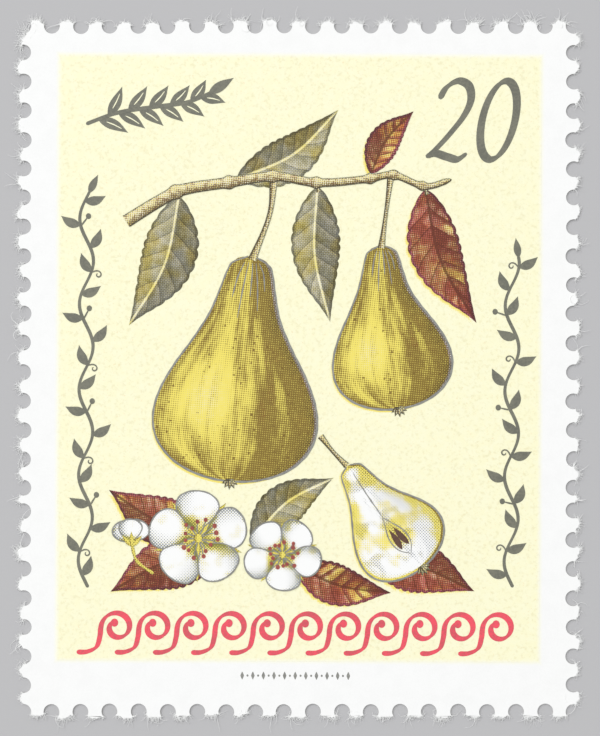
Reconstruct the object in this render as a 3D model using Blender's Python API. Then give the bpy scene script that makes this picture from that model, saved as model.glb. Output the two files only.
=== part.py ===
"""A perforated postage stamp: a sheet of paper with a gummed back and a printed panel on its face.

The stamp lies flat and face up. +Y points at its top edge and +X at its right-hand edge. The origin is
under its middle, on the surface that the gummed back rests on. All sizes are in metres.
"""

import math

import bpy

# Perforation: round holes punched by a comb of pins, along which the stamp is torn from its sheet.
GAUGE_HOLES = 14
GAUGE_LENGTH = 0.020
PITCH = GAUGE_LENGTH / GAUGE_HOLES
HOLE_RADIUS = 0.00039
ROWS_APART = 0.03376          # between the centre lines of the top and the bottom row
COLUMNS_APART = 0.02708       # between the centre lines of the two side columns
ROW_HOLES = 18                # whole holes in a row, without the two at the corners
UPPER_COLUMN_HOLES = 16       # whole holes in a column above the comb's join
LOWER_COLUMN_HOLES = 7        # and below it
JOIN_STEP = 0.00112           # two strikes of the comb meet there, a little too close
PIN_PLAY = 0.00002            # how far a worn pin stands off its place

# Teeth: the bridges between the holes, which tear a little outside the holes' centre line.
TOOTH_REACH = 0.00023
TORN_SHORT = 0.00004          # the most that a tooth tears short of its full reach

# Layers, from the back to the face.
GUM_THICKNESS = 0.00002
PAPER_THICKNESS = 0.00010
INK_THICKNESS = 0.00001

# The printed panel, which sits a little above the middle of the stamp and not quite square to its holes.
PANEL_WIDTH = 0.02376
PANEL_HEIGHT = 0.02983
PANEL_RIGHT = 0.00003
PANEL_UP = 0.00052
PANEL_TURN = math.radians(-0.26)

ARC_STEPS = 7                 # straight pieces in the arc that a hole bites from the edge
CORNER_STEPS = 5              # and in the shorter arc at a corner
GOLDEN_TURN = 2.399963        # radians; steps of this size never repeat, so they serve as play


def remove_everything():
    for item in list(bpy.data.objects):
        bpy.data.objects.remove(item, do_unlink=True)


def new_collection(name):
    collection = bpy.data.collections.new(name)
    bpy.context.scene.collection.children.link(collection)
    return collection


def principled(name, colour, roughness, metallic=0.0):
    material = bpy.data.materials.new(name)
    material.use_nodes = True
    shader = material.node_tree.nodes["Principled BSDF"]
    shader.inputs["Base Color"].default_value = (*colour, 1.0)
    shader.inputs["Roughness"].default_value = roughness
    shader.inputs["Metallic"].default_value = metallic
    return material


def play(number, amount):
    """A small offset between -amount and +amount that differs from one number to the next."""
    return amount * math.sin(number * number * GOLDEN_TURN)


def row_places():
    """Where the whole holes of a row stand along it, from its middle."""
    first = -PITCH * (ROW_HOLES - 1) / 2
    return [first + PITCH * hole for hole in range(ROW_HOLES)]


def column_places():
    """Where the whole holes of a column stand along it, from its middle, top hole first."""
    steps = UPPER_COLUMN_HOLES + LOWER_COLUMN_HOLES - 2
    end_step = (ROWS_APART - JOIN_STEP - PITCH * steps) / 2
    first = -ROWS_APART / 2 + end_step
    upper = [first + PITCH * hole for hole in range(UPPER_COLUMN_HOLES)]
    after_join = upper[-1] + JOIN_STEP
    return upper + [after_join + PITCH * hole for hole in range(LOWER_COLUMN_HOLES)]


def bite(along, out, start, end, steps):
    """An arc of a hole whose centre is at (along, out), from one angle to another in degrees."""
    points = []
    for step in range(steps + 1):
        angle = math.radians(start + (end - start) * step / steps)
        points.append((along + HOLE_RADIUS * math.cos(angle), out + HOLE_RADIUS * math.sin(angle)))
    return points


def past_centre(out):
    """How many degrees a hole's arc runs past its centre line before it meets a tear that far out."""
    return math.degrees(math.asin(out / HOLE_RADIUS))


def tear(number):
    """How far out a tooth tears at its left and at its right end."""
    short = abs(play(number, TORN_SHORT))
    slant = play(number + 1, TORN_SHORT) / 2
    tip = TOOTH_REACH - short - abs(slant)
    return tip + slant, tip - slant


def side(length, places, seed):
    """One side as (along, out) points: the bite of a corner and of each hole up to the next corner.

    A tooth is the straight tear from one bite to the next, so it is a little wider at its tip than
    between the holes' centres. The first and last tooth of a side reach fully.
    """
    tears = [(TOOTH_REACH, TOOTH_REACH)]
    tears += [tear(seed + number) for number in range(1, len(places))]
    tears.append((TOOTH_REACH, TOOTH_REACH))
    full = past_centre(TOOTH_REACH)
    points = bite(-length / 2, 0.0, -90.0 - full, full, CORNER_STEPS)
    for number, place in enumerate(places):
        centre = place + play(seed + number, PIN_PLAY)
        depth = play(seed + number + len(places), PIN_PLAY)
        before = past_centre(tears[number][1] - depth)
        after = past_centre(tears[number + 1][0] - depth)
        points += bite(centre, depth, 180.0 - before, 360.0 + after, ARC_STEPS)
    return points


def perforated_outline():
    """The stamp's edge, clockwise from its top left corner, seen from its face."""
    row = row_places()
    down = column_places()
    up = [-place for place in reversed(down)]
    sides = [
        (COLUMNS_APART, ROWS_APART / 2, row, 3),
        (ROWS_APART, COLUMNS_APART / 2, down, 101),
        (COLUMNS_APART, ROWS_APART / 2, row, 211),
        (ROWS_APART, COLUMNS_APART / 2, up, 307),
    ]
    outline = []
    for turn, (length, middle_to_side, places, seed) in enumerate(sides):
        angle = -math.pi / 2 * turn
        for along, out in side(length, places, seed):
            distance = middle_to_side + out
            x = along * math.cos(angle) - distance * math.sin(angle)
            y = along * math.sin(angle) + distance * math.cos(angle)
            outline.append((x, y))
    return outline


def flat_sheet(name, outline, bottom, thickness, material, collection):
    """A sheet of one thickness with the given outline, its underside at the height of bottom."""
    curve = bpy.data.curves.new(name, "CURVE")
    curve.dimensions = "2D"
    curve.fill_mode = "BOTH"
    curve.extrude = thickness / 2
    spline = curve.splines.new("POLY")
    spline.points.add(len(outline) - 1)
    for point, (x, y) in zip(spline.points, outline):
        point.co = (x, y, 0.0, 1.0)
    spline.use_cyclic_u = True
    curve.materials.append(material)
    sheet = bpy.data.objects.new(name, curve)
    sheet.location = (0.0, 0.0, bottom + thickness / 2)
    collection.objects.link(sheet)
    return sheet


def printed_panel(name, bottom, material, collection):
    """The film of ink on the face, a thin box."""
    bpy.ops.mesh.primitive_cube_add(
        size=1.0, location=(PANEL_RIGHT, PANEL_UP, bottom + INK_THICKNESS / 2)
    )
    panel = bpy.context.object
    panel.name = name
    panel.scale = (PANEL_WIDTH, PANEL_HEIGHT, INK_THICKNESS)
    panel.rotation_euler.z = PANEL_TURN
    bpy.ops.object.transform_apply(location=False, rotation=True, scale=True)
    panel.data.materials.append(material)
    for holder in list(panel.users_collection):
        holder.objects.unlink(panel)
    collection.objects.link(panel)
    return panel


def main():
    remove_everything()
    stamp = new_collection("postage_stamp")
    paper_white = principled("paper_white", (0.93, 0.93, 0.91), 0.75)
    dried_gum = principled("dried_gum", (0.86, 0.83, 0.70), 0.28)
    cream_ink = principled("cream_ink", (0.98, 0.95, 0.70), 0.55)

    outline = perforated_outline()
    paper_bottom = GUM_THICKNESS
    ink_bottom = paper_bottom + PAPER_THICKNESS
    flat_sheet("gum", outline, 0.0, GUM_THICKNESS, dried_gum, stamp)
    flat_sheet("paper", outline, paper_bottom, PAPER_THICKNESS, paper_white, stamp)
    printed_panel("ink", ink_bottom, cream_ink, stamp)


main()
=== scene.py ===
# %% [markdown]
# # A postage stamp
# The real thing is a small sheet of white coated paper. Its back carries dried gum, its face carries a
# few thin films of printing ink, and its four edges are torn along rows of punched holes.
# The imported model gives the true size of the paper, the gum and the printed panel. This script loads it
# first and builds every finish around it.

# %% Load the frame
import math
import random

import bpy
from mathutils import Matrix, Vector


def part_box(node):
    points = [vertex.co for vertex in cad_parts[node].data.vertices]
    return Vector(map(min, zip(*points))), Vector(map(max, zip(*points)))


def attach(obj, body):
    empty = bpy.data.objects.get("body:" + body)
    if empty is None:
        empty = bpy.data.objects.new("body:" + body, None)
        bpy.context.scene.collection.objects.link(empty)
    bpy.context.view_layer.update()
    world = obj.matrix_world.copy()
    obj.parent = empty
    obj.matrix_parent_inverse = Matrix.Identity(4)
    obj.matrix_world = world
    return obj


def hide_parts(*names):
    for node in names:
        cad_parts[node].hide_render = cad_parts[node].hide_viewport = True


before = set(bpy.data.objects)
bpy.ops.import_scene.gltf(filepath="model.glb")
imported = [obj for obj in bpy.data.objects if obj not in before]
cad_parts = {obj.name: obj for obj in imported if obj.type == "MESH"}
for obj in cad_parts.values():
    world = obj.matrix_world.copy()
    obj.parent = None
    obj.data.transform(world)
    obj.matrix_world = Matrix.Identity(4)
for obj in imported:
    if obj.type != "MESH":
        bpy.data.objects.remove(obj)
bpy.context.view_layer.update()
print("nodes:", sorted(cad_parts))

# %% [markdown]
# The details of a stamp are hundredths of a millimetre. Blender's tools lose their way at such sizes in
# metres, as many of them merge points that are closer than that. So each piece is drawn with one unit to
# a millimetre and brought down to its real size when it is finished.

# %% Units and levels
MM = 0.001


def height_of(node, end):
    """The lowest (0) or highest (1) point of a CAD node, in millimetres."""
    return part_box(node)[end][2] / MM


GUM_BOTTOM = height_of("gum", 0)
PAPER_BOTTOM = height_of("paper", 0)
PAPER_TOP = height_of("paper", 1)
INK_TOP = height_of("ink", 1)
print("paper from", round(PAPER_BOTTOM, 4), "to", round(PAPER_TOP, 4), "mm")

# %% [markdown]
# ## The perforated edge
# A comb of round pins punches a row of holes and one hole of each column at every strike. The holes stand
# 14 to 20 mm. Where two strikes of the comb meet, one step in the columns is short. The stamp is then
# torn from its sheet, and the paper parts a little outside the holes' centre line.
# A plate with holes cut by cylinders would do, but an outline drawn point by point also gives each tooth
# its own torn tip, so the edge is a flat curve. Hole places match those of the solid part.

# %% Hole places
PITCH = 20 / 14
HOLE_RADIUS = 0.39
ROWS_APART = 33.76
COLUMNS_APART = 27.08
ROW_HOLES = 18
UPPER_COLUMN_HOLES = 16
LOWER_COLUMN_HOLES = 7
JOIN_STEP = 1.12
GOLDEN_TURN = 2.399963


def play(number, amount):
    """A small offset that differs from one number to the next and is the same on each run."""
    return amount * math.sin(number * number * GOLDEN_TURN)


def holes_from(first, count):
    return [first + PITCH * hole for hole in range(count)]


column_length = JOIN_STEP + PITCH * (UPPER_COLUMN_HOLES + LOWER_COLUMN_HOLES - 2)
ROW = holes_from(-PITCH * (ROW_HOLES - 1) / 2, ROW_HOLES)
DOWN = holes_from(-column_length / 2, UPPER_COLUMN_HOLES)
DOWN += holes_from(DOWN[-1] + JOIN_STEP, LOWER_COLUMN_HOLES)
UP = [-place for place in reversed(DOWN)]

# Each side's length, its distance from the middle, its holes and a number that its play starts from.
SIDES = [
    (COLUMNS_APART, ROWS_APART / 2, ROW, 3),
    (ROWS_APART, COLUMNS_APART / 2, DOWN, 101),
    (COLUMNS_APART, ROWS_APART / 2, ROW, 211),
    (ROWS_APART, COLUMNS_APART / 2, UP, 307),
]
LEFT_SIDE = 3
print(2 * len(ROW) + 2 * len(DOWN), "whole holes and 4 at the corners")

# %% [markdown]
# The lists below give one value for each side, from the top one clockwise, because a stamp is torn off
# its neighbours one side at a time and each tear runs its own way. Play of the pins and of the tear is a
# few hundredths of a millimetre. The tooth below the top left corner tore off aslant, into its hole.

# %% Holes' arcs and torn tips
PIN_PLAY = 0.02
TORN_PLAY = 0.05
TOOTH_REACH = [0.215, 0.25, 0.24, 0.20]
TIP_ROUNDING = [0.13, 0.15, 0.07, 0.16]
TIP_FOOT = [reach - rounding for reach, rounding in zip(TOOTH_REACH, TIP_ROUNDING)]
TORN_CORNER = (0.10, -0.30)
TORN_CORNER_ROUNDING = 0.06
ARC_STEPS = 20
CORNER_STEPS = 14
TORN_STEPS = 16
TORN_CHIP = 0.05
TORN_RAG = 0.022
tear = random.Random(14)


def past_centre(out):
    """How many degrees a hole's arc runs past its centre line before it meets the tear."""
    return math.degrees(math.asin(out / HOLE_RADIUS))


def bite(along, out, start, end, steps):
    """The arc that a hole leaves in the edge, between two angles in degrees."""
    arc = []
    for step in range(steps + 1):
        angle = math.radians(start + (end - start) * step / steps)
        arc.append((along + HOLE_RADIUS * math.cos(angle), out + HOLE_RADIUS * math.sin(angle)))
    return arc


def torn_tip(start, end, rounding):
    """The ragged line across a tooth's tip, from the end of one hole's arc to the next."""
    tip = []
    lean = tear.uniform(0.65, 1.5)
    chips = [0.0] + [tear.uniform(-TORN_CHIP, TORN_CHIP) for _ in range(4)] + [0.0]
    for step in range(1, TORN_STEPS):
        share = step / TORN_STEPS
        crown = rounding * (1.0 - abs(2.0 * share ** lean - 1.0) ** 1.9)
        chip, part = divmod(share * (len(chips) - 1), 1.0)
        crown += chips[int(chip)] * (1.0 - part) + chips[int(chip) + 1] * part
        out = start[1] + (end[1] - start[1]) * share + crown + tear.uniform(-TORN_RAG, TORN_RAG)
        tip.append((start[0] + (end[0] - start[0]) * share, out))
    return tip


print("arcs run up to", round(past_centre(max(TIP_FOOT)), 1), "degrees past the holes' centre line")

# %% The whole outline
teeth = []


def tear_of(turn, number):
    """How far out a tooth tears at its left and at its right end."""
    reach = TIP_FOOT[turn] + play(number, TORN_PLAY)
    slant = play(number + 1, TORN_PLAY)
    return reach + slant, reach - slant


def side(turn, length, places, seed):
    """One side as (along, out) points, from the corner's hole up to the next corner."""
    tears = [tear_of(turn, seed + number) for number in range(len(places) + 1)]
    roundings = [TIP_ROUNDING[turn]] * len(tears)
    if turn == LEFT_SIDE:
        tears[-1] = TORN_CORNER
        roundings[-1] = TORN_CORNER_ROUNDING
    ends_at = TIP_FOOT[turn - 1] if turn else TORN_CORNER[1]
    arcs = [bite(-length / 2, 0.0, -90.0 - past_centre(ends_at), past_centre(tears[0][0]), CORNER_STEPS)]
    for number, place in enumerate(places):
        centre = place + play(seed + number, PIN_PLAY)
        depth = play(seed + number + len(places), PIN_PLAY)
        before = past_centre(tears[number][1] - depth)
        after = past_centre(tears[number + 1][0] - depth)
        arcs.append(bite(centre, depth, 180.0 - before, 360.0 + after, ARC_STEPS))
    last_tear = tears[-1][1]
    next_corner = (length / 2 - math.sqrt(HOLE_RADIUS ** 2 - last_tear ** 2), last_tear)
    ends = [arc[0] for arc in arcs[1:]] + [next_corner]
    points = []
    for arc, end, rounding in zip(arcs, ends, roundings):
        tip = torn_tip(arc[-1], end, rounding)
        teeth.append((turn, [arc[-1], *tip, end]))
        points += arc + tip
    return points


def on_side(turn, along, out):
    """A place along a side and outwards from its holes' centre line, as x and y on the stamp."""
    angle = -math.pi / 2 * turn
    distance = SIDES[turn][1] + out
    x = along * math.cos(angle) - distance * math.sin(angle)
    y = along * math.sin(angle) + distance * math.cos(angle)
    return x, y


edge = []
for turn, (length, _, places, seed) in enumerate(SIDES):
    edge += [on_side(turn, *point) for point in side(turn, length, places, seed)]
print(len(edge), "points round the edge,", len(teeth), "teeth")

# %% [markdown]
# ## The sheet of paper
# The outline is filled as a flat curve, made a mesh, and extruded in two steps. The middle level at a
# tooth's tip then reaches out a little more than the faces do, which is how paper tears.

# %% Fill the outline
def select_only(*things):
    bpy.ops.object.select_all(action="DESELECT")
    for thing in things:
        thing.select_set(True)
    bpy.context.view_layer.objects.active = things[0]


def add_spline(curve, places):
    """Runs a straight-sided spline of a curve through the places."""
    spline = curve.splines.new("POLY")
    spline.points.add(len(places) - 1)
    for point, place in zip(spline.points, places):
        point.co = (*place, 1.0)
    return spline


def made_mesh(curve):
    """Puts a curve into the scene and makes it a mesh."""
    thing = bpy.data.objects.new(curve.name, curve)
    bpy.context.scene.collection.objects.link(thing)
    select_only(thing)
    bpy.ops.object.convert(target="MESH")
    return bpy.context.object


def filled(outline, height):
    """A flat sheet with the given outline."""
    curve = bpy.data.curves.new("sheet", "CURVE")
    curve.dimensions = "2D"
    curve.fill_mode = "BOTH"
    add_spline(curve, [(x, y, 0.0) for x, y in outline]).use_cyclic_u = True
    sheet = made_mesh(curve)
    sheet.location.z = height
    bpy.ops.object.transform_apply(location=True)
    return sheet


paper = filled(edge, PAPER_BOTTOM)
print("the flat sheet has", len(paper.data.vertices), "points")

# %% Extrude it
SHEET_WELD = 0.0005


def edit_welded(distance):
    """Opens the selected mesh for editing, with all of it selected and its doubled points merged."""
    bpy.ops.object.mode_set(mode="EDIT")
    bpy.ops.mesh.select_all(action="SELECT")
    bpy.ops.mesh.remove_doubles(threshold=distance)


def extrude_up(sheet, rise, times=1):
    select_only(sheet)
    edit_welded(SHEET_WELD)
    for _ in range(times):
        bpy.ops.mesh.extrude_region_move(TRANSFORM_OT_translate={"value": (0.0, 0.0, rise)})
    bpy.ops.mesh.select_all(action="SELECT")
    bpy.ops.mesh.normals_make_consistent(inside=False)
    bpy.ops.object.mode_set(mode="OBJECT")


half_paper = (PAPER_TOP - PAPER_BOTTOM) / 2
extrude_up(paper, half_paper, times=2)
print("the sheet has", len(paper.data.vertices), "points")

# %% Tear the tips at every level
TORN_LINE = 0.14
MIDDLE_REACH = 0.03
LEVEL_RAG = 0.020


def torn_outwards(x, y):
    """How far a point stands past the holes' centre lines, and which way is outwards there."""
    past_side = abs(x) - COLUMNS_APART / 2
    past_row = abs(y) - ROWS_APART / 2
    if past_side > past_row:
        return past_side, math.copysign(1.0, x), 0.0
    return past_row, 0.0, math.copysign(1.0, y)


moved = 0
middle = PAPER_BOTTOM + half_paper
for vertex in paper.data.vertices:
    past, out_x, out_y = torn_outwards(vertex.co.x, vertex.co.y)
    if past > TORN_LINE:
        reach = tear.uniform(-LEVEL_RAG, LEVEL_RAG)
        if abs(vertex.co.z - middle) < half_paper / 2:
            reach += MIDDLE_REACH
        vertex.co.x += out_x * reach
        vertex.co.y += out_y * reach
        moved += 1
print(moved, "points torn")

# %% [markdown]
# ## Loose fibres
# Torn paper frays. Its fibres are flat ribbons of wood pulp about 0.03 mm wide. Most stay short and stand
# close together as a white fluff along the tear, some hang out in tufts, and a few are pulled out long
# and curl over the holes. Hair would suit them but isn't kept in an exported model, so each is a thin
# tapering curve with four sides, made a mesh with the rest. Every tooth frays in its own way.

# %% Fibre paths
LOWEST_FIBRE, HIGHEST_FIBRE = 0.022, 0.2
WANDER = 0.15
FAN = 1.4
fray = random.Random(1974)


def fibre_path(start, heading, length, curl, lift, points):
    """Points from a tooth outwards, with a steady curl and a little wander."""
    x, y, z = start
    step = length / (points - 1)
    path = [(x, y, z)]
    for _ in range(points - 1):
        heading += curl * step + fray.gauss(0.0, WANDER)
        x += step * math.cos(heading)
        y += step * math.sin(heading)
        z = min(max(z + lift * step, LOWEST_FIBRE), HIGHEST_FIBRE)
        path.append((x, y, z))
    return path


def fibre_start(turn, tip, deepest):
    """A root a little inside a tooth's torn line, and the way that the tear faces there."""
    number, part = divmod(fray.uniform(0.0, len(tip) - 1.001), 1.0)
    (along, out), (next_along, next_out) = tip[int(number)], tip[int(number) + 1]
    along += (next_along - along) * part
    out += (next_out - out) * part - fray.uniform(0.01, deepest)
    lean = (along - (tip[0][0] + tip[-1][0]) / 2) / (tip[-1][0] - tip[0][0])
    x, y = on_side(turn, along, out)
    faces = math.pi / 2 - math.pi / 2 * turn
    return (x, y, fray.uniform(PAPER_BOTTOM + 0.01, PAPER_TOP - 0.01)), faces - FAN * lean


print("fibres lie from", LOWEST_FIBRE, "to", HIGHEST_FIBRE, "mm high")

# %% Fibres as curves
TAPER = 0.75
CAP_WELD = 0.0003


def fibre_curve(name):
    curve = bpy.data.curves.new(name, "CURVE")
    curve.dimensions = "3D"
    curve.bevel_depth = 1.0
    curve.bevel_resolution = 0
    curve.use_fill_caps = True
    return curve


def add_fibre(curve, path, thickness):
    spline = add_spline(curve, path)
    for number, point in enumerate(spline.points):
        point.radius = thickness * (1.0 - TAPER * number / (len(path) - 1))


def fibre_mesh(curve):
    """Makes the fibres a mesh and welds the loose caps at their ends."""
    fibres = made_mesh(curve)
    edit_welded(CAP_WELD)
    bpy.ops.object.mode_set(mode="OBJECT")
    print(len(curve.splines), "fibres in", curve.name)
    return fibres


# %% Fluff, tufts and long fibres
# Fluff and tufts are counted for each tooth. Lengths are in millimetres and angles in radians.
FLUFF = 58
FLUFF_LENGTH = 0.06
FLUFF_THICK = (0.010, 0.014)
TUFTS = [8, 8, 10, 9]
TUFT_FIBRES = 5
TUFT_WIDTH = 0.02
TUFT_LENGTH = (0.17, 0.34)
TUFT_THICK = (0.010, 0.016)
LONG_SHARE = [0.58, 0.50, 0.56, 0.52]
LONG_LENGTH = (0.35, 0.95)
LONG_THICK = (0.013, 0.019)
DEEP = 0.08
SHAGGIEST = 1.4
ASLANT_SHAG = 2.1
COMBED = 0.42
SPREAD = 0.55
CURL = 3.0
fluff = fibre_curve("fluff")
strands = fibre_curve("strands")
for turn, tip in teeth:
    shag = ASLANT_SHAG if tip is teeth[-1][1] else fray.uniform(2.0 - SHAGGIEST, SHAGGIEST)
    combed = fray.gauss(0.0, COMBED)
    for _ in range(round(FLUFF * (0.5 + 0.5 * shag))):
        start, outwards = fibre_start(turn, tip, DEEP / 2)
        path = fibre_path(start, outwards + combed + fray.gauss(0.0, SPREAD),
                          FLUFF_LENGTH + shag * fray.expovariate(14.0), fray.gauss(0.0, CURL), 0.0, 3)
        add_fibre(fluff, path, fray.uniform(*FLUFF_THICK))
    for _ in range(round(TUFTS[turn] * (0.35 + 0.65 * shag))):
        root, outwards = fibre_start(turn, tip, DEEP)
        leans = outwards + combed + fray.gauss(0.0, 0.36)
        tuft_length = shag * fray.uniform(*TUFT_LENGTH) + fray.expovariate(13.0)
        for _ in range(TUFT_FIBRES):
            beside = [place + fray.uniform(-TUFT_WIDTH, TUFT_WIDTH) for place in root[:2]]
            path = fibre_path((*beside, root[2]), leans + fray.gauss(0.0, 0.24),
                              tuft_length * fray.uniform(0.5, 1.1), fray.gauss(0.0, 4.0),
                              fray.uniform(-0.15, 0.15), 5)
            add_fibre(strands, path, fray.uniform(*TUFT_THICK))
    while fray.random() < LONG_SHARE[turn]:
        start, outwards = fibre_start(turn, tip, DEEP)
        path = fibre_path(start, outwards + combed + fray.gauss(0.0, SPREAD), fray.uniform(*LONG_LENGTH),
                          fray.gauss(0.0, CURL), fray.uniform(-0.1, 0.3), 11)
        add_fibre(strands, path, fray.uniform(*LONG_THICK))
fluff = fibre_mesh(fluff)
fibres = fibre_mesh(strands)

# %% [markdown]
# ## The gum
# The gum was spread on the whole roll of paper before it was printed, so it has the paper's outline. It
# is the flat outline filled once more, as thick as the CAD layer.

# %% Lay the gum
gum = filled(edge, GUM_BOTTOM)
extrude_up(gum, PAPER_BOTTOM - GUM_BOTTOM)
print("the gum is", round(PAPER_BOTTOM - GUM_BOTTOM, 4), "mm thick")

# %% [markdown]
# ## Small tools for materials
# Each finish is a web of nodes, and a web written node by node is long and hard to follow. So a value in
# a web is wrapped as a tone, as a printer would call it. Tones are added and multiplied like numbers, and
# each sum puts the Math node that works it out into the web.

# %% Nodes
def plug(socket, value):
    """Links a socket or a tone to an input, or sets a plain value there."""
    source = value.socket if isinstance(value, Tone) else value
    if isinstance(source, bpy.types.NodeSocket):
        socket.id_data.links.new(source, socket)
    else:
        socket.default_value = source


def add(tree, kind, inputs, **settings):
    node = tree.nodes.new(kind)
    for name, value in settings.items():
        setattr(node, name, value)
    for name, value in inputs.items():
        plug(node.inputs[name], value)
    return node


def work_out(operation, *values):
    """A Math node whose inputs are numbers and at least one tone."""
    tree = next(value.tree for value in values if isinstance(value, Tone))
    node = add(tree, "ShaderNodeMath", {}, operation=operation)
    for socket, value in zip(node.inputs, values):
        plug(socket, value)
    return Tone(node.outputs[0])


# %% Tones
class Tone:
    """A value in a web of nodes, which can be used in sums."""

    def __init__(self, socket):
        self.socket = socket
        self.tree = socket.id_data

    def __add__(self, other):
        return work_out("ADD", self, other)

    def __sub__(self, other):
        return work_out("SUBTRACT", self, other)

    def __rsub__(self, other):
        return work_out("SUBTRACT", other, self)

    def __mul__(self, other):
        return work_out("MULTIPLY", self, other)

    def __truediv__(self, other):
        return work_out("DIVIDE", self, other)

    def __abs__(self):
        return work_out("ABSOLUTE", self)

    __radd__ = __add__

    def at_least(self, floor):
        return work_out("MAXIMUM", self, floor)

    def at_most(self, ceiling):
        return work_out("MINIMUM", self, ceiling)

    def step(self, low, high, start=0.0, end=1.0):
        """A smooth step from start, where this tone is low, to end, where it is high."""
        node = add(self.tree, "ShaderNodeMapRange",
                   {"Value": self, "From Min": low, "From Max": high, "To Min": start, "To Max": end},
                   interpolation_type="SMOOTHSTEP")
        return Tone(node.outputs["Result"])


# %% Places, noise and colours
NOISE_ROUGHNESS = 0.6


def place_on_stamp(tree):
    return add(tree, "ShaderNodeTexCoord", {}).outputs["Object"]


def parts_of(vector):
    parts = add(vector.id_data, "ShaderNodeSeparateXYZ", {"Vector": vector})
    return [Tone(parts.outputs[axis]) for axis in "XYZ"]


def turned(vector, angle, centre=(0.0, 0.0, 0.0)):
    node = add(vector.id_data, "ShaderNodeVectorRotate", {"Vector": vector, "Angle": angle, "Center": centre},
               rotation_type="Z_AXIS")
    return node.outputs["Vector"]


def noise(vector, scale, detail=2.0):
    node = add(vector.id_data, "ShaderNodeTexNoise",
               {"Vector": vector, "Scale": scale, "Detail": detail, "Roughness": NOISE_ROUGHNESS})
    return Tone(node.outputs["Fac"])


def mixed(factor, first, second, blend="MIX"):
    """Two colours mixed; with MULTIPLY the second tints the first."""
    node = add(factor.tree, "ShaderNodeMix", {}, data_type="RGBA", blend_type=blend)
    sockets = {socket.name: socket for socket in node.inputs if socket.enabled}
    plug(sockets["Factor"], factor)
    plug(sockets["A"], first)
    plug(sockets["B"], second)
    return next(socket for socket in node.outputs if socket.enabled)


def new_material(name, roughness, shine):
    """A material, its shader and the place on the stamp, from which its patterns are worked out."""
    material = bpy.data.materials.new(name)
    material.use_nodes = True
    shader = material.node_tree.nodes["Principled BSDF"]
    plug(shader.inputs["Roughness"], roughness)
    plug(shader.inputs["Specular IOR Level"], shine)
    return material, shader, place_on_stamp(material.node_tree)


print("helpers ready")

# %% [markdown]
# ## Paper and gum
# The face of the paper is coated and nearly smooth, with a faint cloudiness where its fibres lie thicker.
# A fine noise gives both the tone and a bump of a few thousandths of a millimetre. The panel's tint
# thins out over a hair's breadth at its edge, so the paper's material carries the tint too. Dried gum is
# pale cream and glossier, with fine cross ridges that keep the stamp from curling.

# %% Paper
WHITE = (0.93, 0.935, 0.93, 1.0)
WHITE_SHADE = (0.905, 0.91, 0.905, 1.0)
CREAM = (0.952, 0.930, 0.640, 1.0)
CREAM_THIN = (0.952, 0.938, 0.675, 1.0)
PAPER_FINISH = (0.72, 0.25)     # roughness and shine
PANEL_SIZE = (23.76, 29.83)
PANEL_MIDDLE = (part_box("ink")[0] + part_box("ink")[1]) / 2 / MM
PRINT_TURN = math.radians(-0.26)
# How wide the tint fades at the panel's edge and how ragged it runs there, in millimetres.
EDGE_FADE = 0.20
EDGE_RAG = 0.10


def bump(height, distance_mm, strength=1.0):
    node = add(height.tree, "ShaderNodeBump",
               {"Height": height, "Distance": distance_mm * MM, "Strength": strength})
    return node.outputs["Normal"]


def tinted(place, bare, tint):
    """The panel's tint over bare paper."""
    insides = []
    squared = turned(place, -PRINT_TURN, PANEL_MIDDLE * MM)
    for coordinate, middle, size in zip(parts_of(squared), PANEL_MIDDLE, PANEL_SIZE):
        insides.append(size / 2 * MM - abs(coordinate - middle * MM))
    ragged = (noise(place, 6.0 / MM) - 0.5) * (EDGE_RAG * MM)
    inside = insides[0].at_most(insides[1]) + ragged
    return mixed(inside.step(-EDGE_FADE * MM, EDGE_FADE * MM), bare, tint)


def paper_material():
    material, shader, place = new_material("coated_paper", *PAPER_FINISH)
    fibres_tone = noise(place, 14.0 / MM, 3.0)
    clouds = noise(place, 1.2 / MM, 4.0) * fibres_tone
    bare = mixed(clouds.step(0.12, 0.34), WHITE_SHADE, WHITE)
    plug(shader.inputs["Base Color"], tinted(place, bare, CREAM_THIN))
    plug(shader.inputs["Normal"], bump(fibres_tone, 0.004))
    return material


print("panel", PANEL_SIZE[0], "x", PANEL_SIZE[1], "mm")

# %% Gum
GUM_POOL = (0.88, 0.86, 0.765, 1.0)
GUM_BETWEEN = (0.83, 0.79, 0.66, 1.0)
GUM_FINISH = (0.3, 0.5)
RIDGE_RADIANS = 9.0


def gum_material():
    material, shader, place = new_material("dried_gum", *GUM_FINISH)
    wander = noise(place, 0.22 / MM, 3.0)
    ridges = work_out("SINE", wander * 2.0 + parts_of(place)[1] * (RIDGE_RADIANS / MM))
    plug(shader.inputs["Base Color"], mixed(wander.step(0.25, 0.75), GUM_BETWEEN, GUM_POOL))
    plug(shader.inputs["Roughness"], wander.step(0.3, 0.7, 0.22, 0.38))
    plug(shader.inputs["Normal"], bump(ridges, 0.006, 0.6))
    return material


print("a ridge of gum every", round(math.tau / RIDGE_RADIANS, 2), "mm")

# %% Finish the paper and the gum
def finish_piece(piece, name, slot, material):
    """Gives a piece its material, brings it to metres and lets it ride on the stamp."""
    piece.data.materials.clear()
    piece.data.materials.append(material)
    select_only(piece)
    piece.scale = (MM, MM, MM)
    bpy.ops.object.transform_apply(location=True, rotation=True, scale=True)
    piece.name = name
    piece.data.name = name
    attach(piece, "root")
    print(name, "has", len(piece.data.polygons), "faces")


PAPER = paper_material()
for piece, name, slot, material in [
    (paper, "stamp_paper", "paper", PAPER),
    (fluff, "torn_fluff", "paper", PAPER),
    (fibres, "torn_fibres", "paper", PAPER),
    (gum, "gum_layer", "gum", gum_material()),
]:
    finish_piece(piece, name, slot, material)
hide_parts("paper")
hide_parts("gum")

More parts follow.
